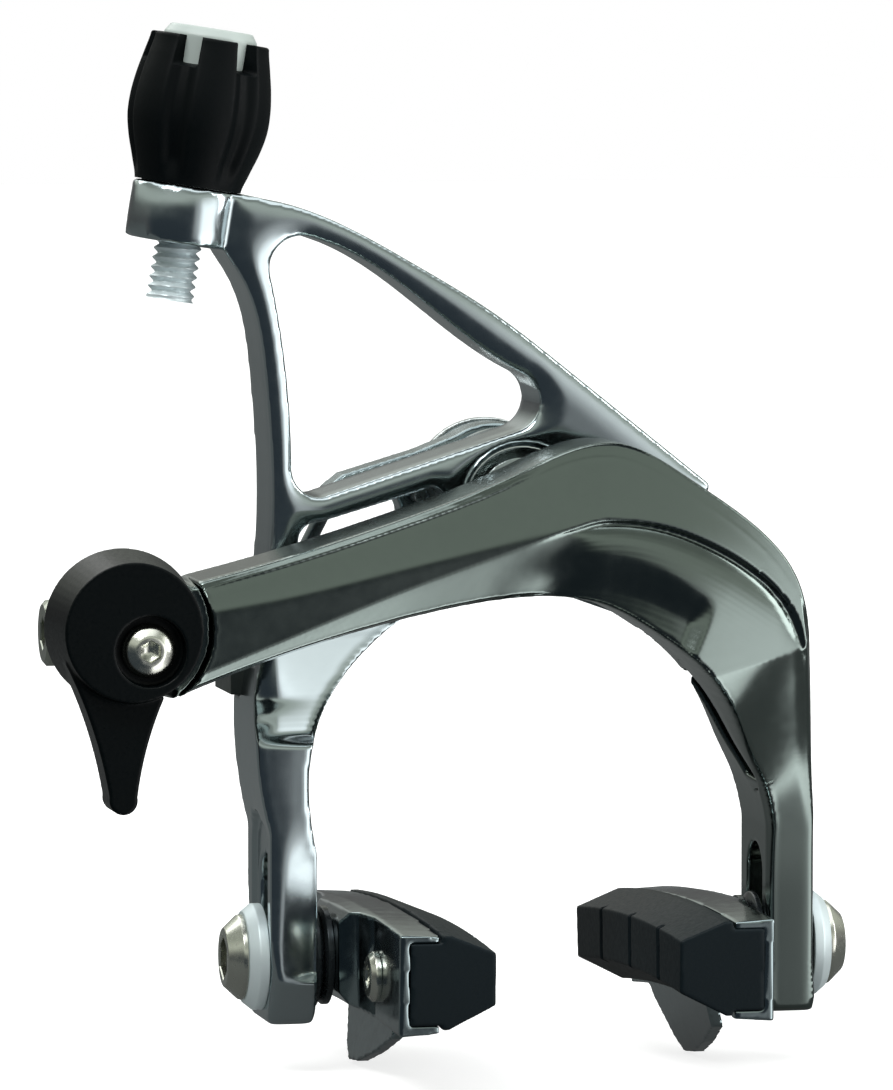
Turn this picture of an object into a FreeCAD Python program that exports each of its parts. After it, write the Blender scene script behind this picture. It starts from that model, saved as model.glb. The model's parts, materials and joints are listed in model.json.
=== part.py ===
import FreeCAD, Part
import math
import os

# Road bicycle rim brake caliper with two pivots, all lengths in millimetres
# Origin on the mounting bolt axis at the face that meets the fork
# +X is to the right seen from the front, +Y goes back into the fork, +Z is up

# Pivots seen from the front
CENTRE = (0.0, 0.0)
SIDE = (18.4, -8.2)
SPRING_PIN = (-8.7, 0.35)
STUD_RADIUS = 3.0
STUD_LENGTH = 30.0
JOURNAL_RADIUS = 3.4
RUNNING_GAP = 0.05

# Layers along Y, from the fork forward
WASHER_FRONT = -1.2
BRACKET_FRONT = -6.6
BOSS_FRONT = -8.4
REAR_ARM_BACK = -10.5
REAR_ARM_FRONT = -20.5
REAR_HUB_FRONT = -19.0
WASHER_THICKNESS = 0.6
BEAM_BACK = -24.5
BEAM_FRONT = -35.0
LEG_FRONT = -26.0
LEG_BACK = -14.0

# Legs and pads
LEFT_OUTER, LEFT_INNER = -28.2, -23.2
RIGHT_INNER, RIGHT_OUTER = 25.2, 30.5
MIRROR_X = 1.0
LEG_BOTTOM = -54.0
PAD_Y = -20.0
PAD_Z = -47.2
REACH_TOP = -39.5
REACH_BOTTOM = -49.0
SLOT_WIDTH = 6.4
RIM_RADIUS = 311.0
OUTER_WASHER = 2.0
PAD_FRONT_LENGTH = 26.8
PAD_REAR_LENGTH = 21.2
PAD_TILT_LEFT = 1.5
PAD_TILT_RIGHT = 3.0
PAD_SCREW_Y = -35.5
PAD_GROOVES = [-10.6, -23.9, -36.8]

# Quick release at the free end of the front arm
RELEASE = (-44.3, -11.4)
RELEASE_SCREW = (-42.6, -13.4)
DISC_BACK_RADIUS = 8.1
DISC_FRONT_RADIUS = 7.2
DISC_BACK = -27.8
DISC_FRONT = -36.2
ECCENTRIC = 1.6
ECCENTRIC_ANGLE = -130.0
PIN_RADIUS = 2.2
RELEASE_DOWEL = (-46.0, -9.4)
ANCHOR_Y = -20.6
EAR_END = -48.95

# Return spring wire, wrapped round the centre pivot, angles in degrees seen from the front
SPRING_WIRE = 0.8
SPRING_COIL = 5.6
SPRING_BEND = 3.0
SPRING_Y = -7.55
SPRING_TAIL = -40.0
SPRING_LEAVE = 107.6
SPRING_RUN = 16.0
SPRING_TURN = 45.0
SPRING_LEG = 20.1
SLIDER_OUTER, SLIDER_INNER = -30.5, -26.3

# Cable adjuster, its axis leans to the right as it rises
ADJUST_FOOT = (-37.1, 21.7)
ADJUST_LEAN = 9.2
ADJUST_Y = -16.5
THREAD_RADIUS = 2.5

# Lightening slots under the arch: both ends seen from the front, depth and half width
ARCH_POCKETS = [
    ((6.8, -10.4), (8.6, -11.6), -26.0, 0.8),
    ((11.9, -13.2), (14.2, -15.5), -26.0, 1.3),
    ((16.2, -17.2), (16.5, -17.7), -25.0, 0.7),
    ((17.8, -19.0), (23.0, -28.6), -24.0, 2.2),
]

os.makedirs("parts", exist_ok=True)


def vec(x, y, z):
    return FreeCAD.Vector(x, y, z)


def at(point, y):
    return vec(point[0], y, point[1])


def drum(point, back, front, radius):
    """Cylinder along Y between two depths."""
    return Part.makeCylinder(radius, back - front, at(point, back), vec(0, -1, 0))


def taper(point, back, front, radius_back, radius_front):
    """Cone along Y between two depths."""
    return Part.makeCone(radius_back, radius_front, back - front, at(point, back), vec(0, -1, 0))


def across(x_from, x_to, y, z, radius):
    """Cylinder along X."""
    low, high = min(x_from, x_to), max(x_from, x_to)
    return Part.makeCylinder(radius, high - low, vec(low, y, z), vec(1, 0, 0))


def box(x0, x1, y0, y1, z0, z1):
    return Part.makeBox(x1 - x0, y1 - y0, z1 - z0, vec(x0, y0, z0))


def join(shapes):
    result = shapes[0]
    for shape in shapes[1:]:
        result = result.fuse(shape)
    return result.removeSplitter()


def line(a, b, y=0.0):
    return Part.makeLine(at(a, y), at(b, y))


def bow(a, middle, b, y=0.0):
    return Part.Arc(at(a, y), at(middle, y), at(b, y)).toShape()


def curve(points, y=0.0):
    spline = Part.BSplineCurve()
    spline.interpolate([at(p, y) for p in points])
    return spline.toShape()


def plate(edges, back, front):
    """Front view outline drawn at Y zero, given its depth."""
    face = Part.Face(Part.Wire(edges))
    face.translate(vec(0, back, 0))
    return face.extrude(vec(0, front - back, 0))


def outline(points, back, front):
    edges = [line(points[i], points[(i + 1) % len(points)]) for i in range(len(points))]
    return plate(edges, back, front)


def side_profile(points, x0, x1):
    """Outline in the YZ plane, given its width along X."""
    wire = Part.makePolygon([vec(x0, y, z) for y, z in points + points[:1]])
    return Part.Face(wire).extrude(vec(x1 - x0, 0, 0))


def hex_bar(point, y0, y1, flats):
    """Hexagon along Y, width measured across the flats."""
    corner = flats / math.sqrt(3)
    ring = [(point[0] + corner * math.cos(math.radians(60 * i)),
             point[1] + corner * math.sin(math.radians(60 * i))) for i in range(6)]
    return outline(ring, max(y0, y1), min(y0, y1))


def hex_across(x0, x1, y, z, flats):
    """Hexagon along X."""
    corner = flats / math.sqrt(3)
    ring = [(y + corner * math.cos(math.radians(60 * i)),
             z + corner * math.sin(math.radians(60 * i))) for i in range(6)]
    return side_profile(ring, min(x0, x1), max(x0, x1))


def capsule(a, b, radius, back, front):
    """Slot shape between two points of the front view."""
    length = math.hypot(b[0] - a[0], b[1] - a[1])
    nx, nz = -(b[1] - a[1]) / length * radius, (b[0] - a[0]) / length * radius
    ring = [(a[0] + nx, a[1] + nz), (b[0] + nx, b[1] + nz),
            (b[0] - nx, b[1] - nz), (a[0] - nx, a[1] - nz)]
    return join([outline(ring, back, front), drum(a, back, front, radius), drum(b, back, front, radius)])


def mounting_bolt():
    stud = drum(CENTRE, STUD_LENGTH, 0.0, STUD_RADIUS)
    shoulder = REAR_HUB_FRONT - RUNNING_GAP - WASHER_THICKNESS
    journal = drum(CENTRE, 0.0, shoulder, JOURNAL_RADIUS)
    nut_thread = drum(CENTRE, shoulder, -22.6, STUD_RADIUS)
    return join([stud, journal, nut_thread])


def crown_washer():
    ring = drum(CENTRE, 0.0, WASHER_FRONT, 8.0)
    return ring.cut(drum(CENTRE, 1.0, WASHER_FRONT - 1.0, JOURNAL_RADIUS))


def pivot_bracket():
    hub = drum(CENTRE, WASHER_FRONT, BRACKET_FRONT, 7.7)
    lobe = drum(SIDE, WASHER_FRONT, BRACKET_FRONT, 6.2)
    web = outline([(3.2, 7.0), (20.9, -2.5), (16.2, -14.0), (-2.9, -7.1)], WASHER_FRONT, BRACKET_FRONT)
    horn = outline([(-18.7, -0.4), (-11.4, 1.0), (-10.4, -1.0), (-9.8, -4.2), (-6.0, -7.0), (0.0, 0.0),
                    (-3.6, 6.7), (-8.5, 4.8), (-16.6, 2.4), (-18.5, 0.9)], WASHER_FRONT - 1.2, BRACKET_FRONT)
    centre_boss = drum(CENTRE, BRACKET_FRONT, BOSS_FRONT, 4.6)
    side_boss = drum(SIDE, BRACKET_FRONT, BOSS_FRONT, 5.6)
    body = join([hub, lobe, web, horn, centre_boss, side_boss])
    body = body.cut(drum(CENTRE, 0.0, -9.0, JOURNAL_RADIUS))
    body = body.cut(drum(SIDE, 0.0, -9.0, STUD_RADIUS))
    body = body.cut(drum(SIDE, 0.0, -4.2, 4.7))
    return body.cut(drum(SPRING_PIN, 0.0, -9.0, 0.9))


def spring_pin():
    return drum(SPRING_PIN, -2.0, REAR_ARM_BACK + 0.2, 0.9)


def side_pivot_bolt():
    head = drum(SIDE, -1.4, -4.2, 4.6)
    socket = hex_bar(SIDE, -1.4, -3.4, 4.0)
    shank = drum(SIDE, -4.2, -21.8, STUD_RADIUS)
    return join([head.cut(socket), shank])


def centre_washer():
    back = REAR_HUB_FRONT - RUNNING_GAP
    ring = drum(CENTRE, back, back - WASHER_THICKNESS, 6.2)
    return ring.cut(drum(CENTRE, -18.0, -21.0, JOURNAL_RADIUS))


def centre_nut():
    back = REAR_HUB_FRONT - RUNNING_GAP - WASHER_THICKNESS
    nut = taper(CENTRE, back, back - 3.2, 4.9, 4.2)
    nut = nut.cut(drum(CENTRE, back + 1.0, -22.6, STUD_RADIUS))
    return nut.cut(hex_bar(CENTRE, -22.6, -24.0, 4.0))


def rear_arm_outline():
    return [
        curve([(-31.0, 25.6), (-28.9, 21.5), (-27.5, 13.5), (-26.9, 5.5), (-27.0, -4.0),
               (-28.2, -12.5), (-29.5, -20.0), (-29.6, -25.5), (LEFT_OUTER, -33.8)]),
        line((LEFT_OUTER, -33.8), (LEFT_OUTER, LEG_BOTTOM)),
        line((LEFT_OUTER, LEG_BOTTOM), (LEFT_INNER, LEG_BOTTOM)),
        line((LEFT_INNER, LEG_BOTTOM), (LEFT_INNER, -36.0)),
        curve([(LEFT_INNER, -36.0), (-24.1, -29.0), (-23.3, -23.4), (-20.4, -18.4),
               (-15.5, -13.7), (-10.0, -10.0), (-3.0, -7.0)]),
        line((-3.0, -7.0), (2.0, -2.0)),
        line((2.0, -2.0), (6.0, 2.8)),
        line((6.0, 2.8), (19.6, 0.6)),
        line((19.6, 0.6), (20.2, 1.7)),
        curve([(20.2, 1.7), (15.2, 5.7), (9.7, 10.1), (3.2, 15.3), (-3.3, 20.2),
               (-12.0, 25.5), (-22.7, 30.9), (-29.8, 32.5)]),
        line((-29.8, 32.5), (-33.5, 29.5)),
        line((-33.5, 29.5), (-31.0, 25.6)),
    ]


def upper_window():
    return [
        curve([(-27.2, 24.6), (-25.7, 16.0), (-24.9, 4.6)]),
        bow((-24.9, 4.6), (-23.9, 1.8), (-21.6, 0.95)),
        line((-21.6, 0.95), (-0.6, 7.6)),
        bow((-0.6, 7.6), (1.8, 10.4), (0.4, 13.6)),
        curve([(0.4, 13.6), (-8.9, 20.0), (-15.4, 24.9), (-22.2, 28.2)]),
        bow((-22.2, 28.2), (-26.0, 27.7), (-27.2, 24.6)),
    ]


def lower_window():
    return [
        line((-21.8, -1.5), (-9.8, 2.0)),
        bow((-9.8, 2.0), (-8.4, 0.8), (-8.9, -1.6)),
        curve([(-8.9, -1.6), (-14.5, -5.0), (-20.0, -10.2)]),
        bow((-20.0, -10.2), (-22.6, -10.6), (-23.8, -8.6)),
        line((-23.8, -8.6), (-24.2, -4.0)),
        bow((-24.2, -4.0), (-23.6, -2.1), (-21.8, -1.5)),
    ]


def rear_arm():
    slab = plate(rear_arm_outline(), 0.0, -40.0)
    slab = slab.cut(plate(upper_window(), 5.0, -45.0))
    slab = slab.cut(plate(lower_window(), 5.0, -45.0))
    depth = side_profile([(REAR_ARM_FRONT, 45.0), (REAR_ARM_FRONT, -13.0), (LEG_FRONT, -23.8),
                          (LEG_FRONT, -49.0), (LEG_FRONT + 2.0, LEG_BOTTOM - 1.0),
                          (LEG_BACK, LEG_BOTTOM - 1.0), (LEG_BACK, -46.0), (LEG_BACK + 1.4, -39.0),
                          (LEG_BACK + 1.0, -28.0), (REAR_ARM_BACK, -13.0), (REAR_ARM_BACK, 45.0)],
                         -60.0, 40.0)
    frame = slab.common(depth)
    hub = drum(CENTRE, BOSS_FRONT - RUNNING_GAP, REAR_HUB_FRONT, 7.4)
    body = join([frame, hub, adjuster_boss()])
    body = body.cut(drum(CENTRE, 0.0, -40.0, 4.8))
    body = body.cut(drum(CENTRE, REAR_HUB_FRONT, -40.0, 6.6))
    body = body.cut(adjuster_bore())
    body = body.cut(slider_pocket())
    body = body.cut(leg_slot(LEFT_OUTER - 1.0, LEFT_INNER + 1.0))
    body = body.cut(leg_recess()).cut(leg_bevel())
    return body.cut(Part.makeCylinder(2.0, 20.0, vec(9.4, -15.5, 0.0), vec(0, 0, 1)))


def leg_slot(x0, x1):
    """Slot that sets the height of a pad bolt."""
    half = SLOT_WIDTH / 2
    middle = box(x0, x1, PAD_Y - half, PAD_Y + half, REACH_BOTTOM, REACH_TOP)
    top = across(x0, x1, PAD_Y, REACH_TOP, half)
    low = across(x0, x1, PAD_Y, REACH_BOTTOM, half)
    return join([middle, top, low])


def leg_recess():
    """Shallow pocket round the slot, open to the outer side of the left leg."""
    middle = box(LEFT_OUTER - 2.0, LEFT_OUTER + 0.5, PAD_Y - 3.9, PAD_Y + 4.6, -60.0, REACH_TOP + 3.4)
    crown = Part.makeCylinder(4.25, 2.5, vec(LEFT_OUTER - 2.0, PAD_Y + 0.35, REACH_TOP + 3.4), vec(1, 0, 0))
    return middle.fuse(crown).common(box(-40.0, -20.0, -40.0, 0.0, LEG_BOTTOM + 3.0, 0.0))


def leg_bevel():
    """Corner of the left leg that is planed off, wider towards its end."""
    corners = [vec(-28.7, -26.5, -38.5), vec(-25.6, -26.5, -56.0), vec(-28.7, -23.4, -56.0)]
    return Part.Face(Part.makePolygon(corners + corners[:1])).extrude(vec(-3.0, -3.0, 0.0))


def lean(shape):
    """Turn a shape built upright over the adjuster foot to the adjuster axis."""
    shape.rotate(at(ADJUST_FOOT, ADJUST_Y), vec(0, 1, 0), ADJUST_LEAN)
    return shape


def adjuster_drum(low, high, radius):
    return Part.makeCylinder(radius, high - low, vec(ADJUST_FOOT[0], ADJUST_Y, ADJUST_FOOT[1] + low))


def adjuster_boss():
    barrel = adjuster_drum(6.1, 12.0, 5.7)
    neck = box(ADJUST_FOOT[0], ADJUST_FOOT[0] + 7.5, ADJUST_Y - 4.0, ADJUST_Y + 5.0,
               ADJUST_FOOT[1] + 6.1, ADJUST_FOOT[1] + 12.0)
    return lean(join([barrel, neck]))


def adjuster_bore():
    return lean(adjuster_drum(0.0, 20.0, THREAD_RADIUS + RUNNING_GAP))


def adjuster_bolt():
    shank = adjuster_drum(0.0, 22.0, THREAD_RADIUS)
    return lean(shank.cut(adjuster_drum(-1.0, 23.0, 1.1)))


def adjuster_knob():
    core = adjuster_drum(12.05, 27.8, 4.9)
    crown = Part.makeCone(4.9, 4.3, 0.9, vec(ADJUST_FOOT[0], ADJUST_Y, ADJUST_FOOT[1] + 27.8))
    bore = adjuster_drum(12.0, 24.6, THREAD_RADIUS + RUNNING_GAP)
    cable_hole = adjuster_drum(24.0, 26.0, 0.9)
    housing_seat = adjuster_drum(25.2, 30.0, 2.6)
    return lean(join([core, crown]).cut(bore).cut(cable_hole).cut(housing_seat))


def adjuster_grip():
    axis = vec(ADJUST_FOOT[0], ADJUST_Y, ADJUST_FOOT[1])
    side = [(4.9, 12.6), (6.0, 12.6), (7.35, 17.2), (7.35, 20.5), (6.1, 27.6), (4.9, 27.6)]
    wire = Part.makePolygon([axis + vec(r, 0, z) for r, z in side + side[:1]])
    grip = Part.Face(wire).revolve(axis, vec(0, 0, 1), 360.0)
    for i in range(6):
        angle = math.radians(60 * i - 3)
        groove = Part.makeCylinder(1.3, 20.0, axis + vec(8.0 * math.cos(angle), 8.0 * math.sin(angle), 12.0))
        notch = Part.makeBox(4.0, 2.2, 5.0, vec(4.6, -1.1, 24.6))
        notch.rotate(vec(0, 0, 0), vec(0, 0, 1), 60 * i - 3)
        notch.translate(axis)
        grip = grip.cut(groove).cut(notch)
    return lean(grip)


def centre_bushing():
    ring = drum(CENTRE, BOSS_FRONT - RUNNING_GAP, REAR_HUB_FRONT, 4.8)
    return ring.cut(drum(CENTRE, 0.0, -30.0, JOURNAL_RADIUS + RUNNING_GAP))


def centring_screw():
    tip = Part.makeCone(1.0, 2.0, 1.0, vec(9.4, -15.5, 0.85), vec(0, 0, 1))
    shank = Part.makeCylinder(2.0, 7.0, vec(9.4, -15.5, 1.85), vec(0, 0, 1))
    socket = Part.makeCylinder(1.0, 2.0, vec(9.4, -15.5, 7.2), vec(0, 0, 1))
    return join([tip, shank]).cut(socket)


def slider_pocket():
    return box(-32.0, SLIDER_INNER, -15.6, -5.0, -20.0, -16.8)


def spring_slider():
    block = box(SLIDER_OUTER, SLIDER_INNER, -15.6, -6.4, -20.0, -16.8)
    start, end = spring_leg()
    return block.cut(capsule(start, end, SPRING_WIRE + RUNNING_GAP, -6.0, SPRING_Y - SPRING_WIRE - RUNNING_GAP))


def polar(radius, degrees, centre=(0.0, 0.0)):
    angle = math.radians(degrees)
    return (centre[0] + radius * math.cos(angle), centre[1] + radius * math.sin(angle))


def step(point, heading, length):
    """Point reached from another one, heading in degrees seen from the front."""
    angle = math.radians(heading)
    return (point[0] + length * math.cos(angle), point[1] + length * math.sin(angle))


def wire_end(point, heading):
    """Round face of the wire, square to its heading."""
    circle = Part.Circle(at(point, SPRING_Y), at(step(CENTRE, heading, 1.0), 0.0), SPRING_WIRE)
    return Part.Face(Part.Wire(circle.toShape()))


def wire_run(point, heading, length):
    return wire_end(point, heading).extrude(at(step(CENTRE, heading, length), 0.0))


def spring_corner():
    """End of the run from the coil, its heading and the middle of the bend."""
    heading = SPRING_LEAVE + 90.0
    corner = step(polar(SPRING_COIL, SPRING_LEAVE), heading, SPRING_RUN)
    return corner, heading, step(corner, heading + 90.0, SPRING_BEND)


def spring_leg():
    """Start and end of the straight leg that pushes the slider."""
    corner, heading, middle = spring_corner()
    start = step(middle, heading - 90.0 + SPRING_TURN, SPRING_BEND)
    return start, step(start, heading + SPRING_TURN, SPRING_LEG)


def return_spring():
    """Wire that wraps round the centre pivot and ends in the slider."""
    corner, heading, middle = spring_corner()
    leave = polar(SPRING_COIL, SPRING_LEAVE)
    tail = wire_run(polar(SPRING_COIL, SPRING_TAIL), SPRING_TAIL - 90.0, 3.6)
    coil = wire_end(leave, heading).revolve(at(CENTRE, SPRING_Y), vec(0, 1, 0), SPRING_LEAVE - SPRING_TAIL)
    run = wire_run(leave, heading, SPRING_RUN)
    bend = wire_end(corner, heading).revolve(at(middle, SPRING_Y), vec(0, -1, 0), SPRING_TURN)
    leg = wire_run(spring_leg()[0], heading + SPRING_TURN, SPRING_LEG)
    return join([tail, coil, run, bend, leg])


def front_arm_section(top, low, crease, back, front, front_low):
    """One cross section of the front arm, between its top and its lower edge."""
    bevel = 0.09

    def mix(t, y):
        return vec(top[0] + (low[0] - top[0]) * t, y, top[1] + (low[1] - top[1]) * t)

    corners = [mix(0, back), mix(0, front + 1.6), mix(bevel, front), mix(crease, front),
               mix(1 - bevel / 2, front_low), mix(1, front_low + 1.0), mix(1, back)]
    return corners


def front_arm_beam():
    sections = [
        front_arm_section((-37.4, -6.5), (-40.2, -18.8), 0.85, BEAM_BACK, BEAM_FRONT, -33.6),
        front_arm_section((-28.7, -4.3), (-30.9, -15.3), 0.82, BEAM_BACK, BEAM_FRONT, -33.5),
        front_arm_section((-14.3, 0.1), (-15.5, -10.9), 0.68, BEAM_BACK, BEAM_FRONT, -33.0),
        front_arm_section((-3.0, 4.4), (-3.5, -8.9), 0.58, BEAM_BACK, BEAM_FRONT, -32.4),
        front_arm_section((2.9, 6.8), (1.6, -8.9), 0.53, BEAM_BACK, BEAM_FRONT, -32.1),
        front_arm_section((7.6, 7.1), (5.2, -9.6), 0.47, BEAM_BACK, BEAM_FRONT, -31.9),
        front_arm_section((14.7, 3.5), (10.0, -12.1), 0.34, BEAM_BACK, BEAM_FRONT, -31.5),
        front_arm_section((22.0, -1.7), (15.0, -15.9), 0.25, -23.6, BEAM_FRONT, -31.0),
        front_arm_section((26.6, -7.4), (18.8, -20.6), 0.18, -20.6, -34.6, -30.2),
        front_arm_section((28.3, -14.6), (21.4, -25.2), 0.16, -17.6, -32.6, -29.2),
        front_arm_section((29.4, -23.0), (23.7, -29.0), 0.16, -15.0, -29.2, -27.4),
        front_arm_section((RIGHT_OUTER - 0.3, -29.5), (RIGHT_INNER - 0.3, -32.4), 0.2, LEG_BACK, -26.6, -26.2),
        front_arm_section((RIGHT_OUTER, -32.5), (RIGHT_INNER, -34.0), 0.2, LEG_BACK, LEG_FRONT, LEG_FRONT),
        front_arm_section((RIGHT_OUTER, LEG_BOTTOM), (RIGHT_INNER, LEG_BOTTOM), 0.2, LEG_BACK, LEG_FRONT, LEG_FRONT),
    ]
    return skin(sections)


def skin(sections):
    """Solid over a row of sections, curved up to the last but one and straight from there."""
    bent = sections[:-1]
    count = len(bent[0])
    knots = [0.0]
    for i in range(1, len(bent)):
        step = sum(bent[i][k].distanceToPoint(bent[i - 1][k]) for k in range(count)) / count
        knots.append(knots[-1] + step)
    edges = []
    for k in range(count):
        spline = Part.BSplineCurve()
        spline.interpolate(Points=[section[k] for section in bent], Parameters=knots)
        edges.append(spline.toShape())
    faces = []
    for k in range(count):
        n = (k + 1) % count
        faces.append(Part.makeRuledSurface(edges[k], edges[n]))
        quad = [sections[-2][k], sections[-2][n], sections[-1][n], sections[-1][k], sections[-2][k]]
        faces.append(Part.Face(Part.makePolygon(quad)))
    for section in (sections[0], sections[-1]):
        faces.append(Part.Face(Part.makePolygon(section + section[:1])))
    shell = Part.Shell(faces)
    shell.sewShape()
    return Part.Solid(shell)


def arch_pocket(start, end, y, radius):
    """Blind slot cut square into the inner face of the arch."""
    length = math.hypot(end[0] - start[0], end[1] - start[1])
    inward = vec((start[1] - end[1]) / length, 0, (end[0] - start[0]) / length)
    low, high = at(start, y) - inward * 2.0, at(end, y) - inward * 2.0
    half = vec(0, radius, 0)
    middle = Part.Face(Part.makePolygon([low - half, high - half, high + half, low + half, low - half]))
    ends = [Part.makeCylinder(radius, 4.2, point, inward) for point in (low, high)]
    return join([middle.extrude(inward * 4.2)] + ends)


def front_arm():
    beam = front_arm_beam()
    hub = drum(SIDE, BOSS_FRONT - RUNNING_GAP, BEAM_BACK - 3.0, 6.0)
    nose = outline([(8.6, -2.4), (8.6, 0.5), (11.0, 0.5), (18.0, -2.3), (18.4, -8.2), (13.0, -8.2)], -9.0, -20.0)
    body = join([beam, hub, nose])
    toe = side_profile([(LEG_FRONT - 1.0, -48.4), (LEG_FRONT, -48.4), (LEG_FRONT + 2.2, LEG_BOTTOM - 1.0),
                        (LEG_FRONT - 1.0, LEG_BOTTOM - 1.0)], RIGHT_INNER - 1.0, RIGHT_OUTER + 1.0)
    body = body.cut(toe)
    body = body.cut(drum(RELEASE, DISC_BACK + 0.2, -50.0, DISC_BACK_RADIUS + 0.35))
    eye = drum(RELEASE, BEAM_BACK + 0.1, DISC_BACK + 0.2, 7.2)
    neck = outline([(-44.0, -4.4), (-36.0, -7.6), (-38.2, -17.0), (-46.0, -18.2)], BEAM_BACK + 0.1, DISC_BACK + 0.2)
    body = join([body, join([eye, neck])])
    body = body.cut(drum(RELEASE, 0.0, -50.0, 4.2 + RUNNING_GAP))
    body = body.cut(drum(SIDE, 0.0, -22.0, 4.2))
    for start, end, y, radius in ARCH_POCKETS:
        body = body.cut(arch_pocket(start, end, y, radius))
    return body.cut(leg_slot(RIGHT_INNER - 1.0, RIGHT_OUTER + 1.0))


def side_bushing():
    ring = drum(SIDE, BOSS_FRONT - RUNNING_GAP, -22.0, 4.2)
    return ring.cut(drum(SIDE, 0.0, -30.0, STUD_RADIUS + RUNNING_GAP))


def release_lever():
    disc = taper(RELEASE, DISC_BACK, DISC_FRONT, DISC_BACK_RADIUS, DISC_FRONT_RADIUS)
    blade = plate([
        bow((-51.2, -14.6), (-48.4, -21.3), (-46.6, -28.6)),
        bow((-46.6, -28.6), (-45.0, -30.4), (-43.7, -28.6)),
        bow((-43.7, -28.6), (-42.5, -22.8), (-40.9, -18.4)),
        line((-40.9, -18.4), RELEASE),
        line(RELEASE, (-51.2, -14.6)),
    ], -29.4, -34.2)
    body = join([disc, blade])
    body = body.cut(drum(RELEASE_SCREW, DISC_FRONT + 1.9, DISC_FRONT - 1.0, 3.7))
    body = body.cut(drum(RELEASE_SCREW, DISC_BACK + 1.0, DISC_FRONT, 1.25))
    return body.cut(drum(RELEASE_DOWEL, DISC_BACK + 1.0, DISC_BACK - 3.0, 1.2))


def release_screw():
    seat = DISC_FRONT + 1.9
    head = taper(RELEASE_SCREW, seat, seat - 1.7, 2.85, 2.0)
    shank = drum(RELEASE_SCREW, DISC_BACK + 2.2, seat, 1.25)
    return join([head, shank]).cut(hex_bar(RELEASE_SCREW, seat - 0.6, seat - 3.0, 2.0))


def eccentric_centre():
    angle = math.radians(ECCENTRIC_ANGLE)
    return (RELEASE[0] + ECCENTRIC * math.cos(angle), RELEASE[1] + ECCENTRIC * math.sin(angle))


def release_spindle():
    dowel = drum(RELEASE_DOWEL, DISC_BACK, DISC_BACK - 3.0, 1.2)
    journal = drum(RELEASE, BEAM_BACK + 0.1, DISC_BACK, 4.2)
    journal = journal.cut(drum(RELEASE_SCREW, DISC_BACK + 2.2, DISC_BACK - 1.0, 1.25))
    crank = drum(eccentric_centre(), -15.9, BEAM_BACK - 0.5, PIN_RADIUS)
    return join([dowel, journal, crank])


def release_clip():
    ring = drum(eccentric_centre(), -16.1, -16.7, 3.8)
    return ring.cut(drum(eccentric_centre(), -15.0, -18.0, PIN_RADIUS))


def anchor_block():
    middle = eccentric_centre()
    body = drum(middle, -16.75, BEAM_BACK + 0.25, 5.4)
    ear = across(EAR_END, middle[0] + 1.0, ANCHOR_Y, middle[1], 3.6)
    block = join([body, ear]).cut(box(-60.0, EAR_END, -30.0, -10.0, -30.0, 0.0))
    block = block.cut(drum(middle, 0.0, -30.0, PIN_RADIUS + RUNNING_GAP))
    return block.cut(across(-50.0, middle[0] - 2.6, ANCHOR_Y, middle[1], 1.6))


def cable_clamp():
    z = eccentric_centre()[1]
    ring = across(EAR_END - 0.7, EAR_END, ANCHOR_Y, z, 3.6)
    return ring.cut(across(-51.0, -48.0, ANCHOR_Y, z, 1.6))


def anchor_bolt():
    middle = eccentric_centre()
    seat = EAR_END - 0.7
    head = across(seat - 1.7, seat, ANCHOR_Y, middle[1], 3.4)
    shank = across(seat, middle[0] - 2.6, ANCHOR_Y, middle[1], 1.6)
    return join([head, shank]).cut(hex_across(seat - 2.0, seat - 0.8, ANCHOR_Y, middle[1], 3.0))


def around_rim(section, trim):
    """Section in the XZ plane through the pad bolt, swept along the rim."""
    front = math.degrees((PAD_FRONT_LENGTH - trim) / RIM_RADIUS)
    rear = math.degrees((PAD_REAR_LENGTH - trim) / RIM_RADIUS)
    centre = vec(0.0, PAD_Y, PAD_Z - RIM_RADIUS)
    face = Part.Face(Part.makePolygon([at(p, PAD_Y) for p in section + section[:1]]))
    face.rotate(centre, vec(1, 0, 0), -rear)
    return face.revolve(centre, vec(1, 0, 0), front + rear)


def pad_fin():
    """Guide below the holder that flares away from the rim."""
    top, flare, thickness = -51.4, 0.28, 1.3
    shape = [(-33.0, top), (-32.2, -54.9), (-26.0, -57.0), (-19.5, -58.6), (-15.0, -58.9),
             (-12.2, -57.6), (-7.6, -53.6), (-6.8, top)]
    corners = [vec(-14.5 + flare * (z - top), y, z) for y, z in shape]
    return Part.Face(Part.makePolygon(corners + corners[:1])).extrude(vec(-thickness, 0, 0))


def holder_scoop(y, direction):
    """Hollow in the outer side of the holder, from the washer seat to one end, seen from above."""
    edges = [
        line((-21.4, y), (-19.6, y + 3.4 * direction)),
        line((-19.6, y + 3.4 * direction), (-18.9, y + 8.3 * direction)),
        line((-18.9, y + 8.3 * direction), (-18.7, y + 24.0 * direction)),
        line((-18.7, y + 24.0 * direction), (-26.0, y + 24.0 * direction)),
        line((-26.0, y + 24.0 * direction), (-26.0, y)),
        line((-26.0, y), (-21.4, y)),
    ]
    scoop = plate(edges, 65.0, 35.0)
    scoop.rotate(vec(0, 0, 0), vec(1, 0, 0), -90)
    return scoop


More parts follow.
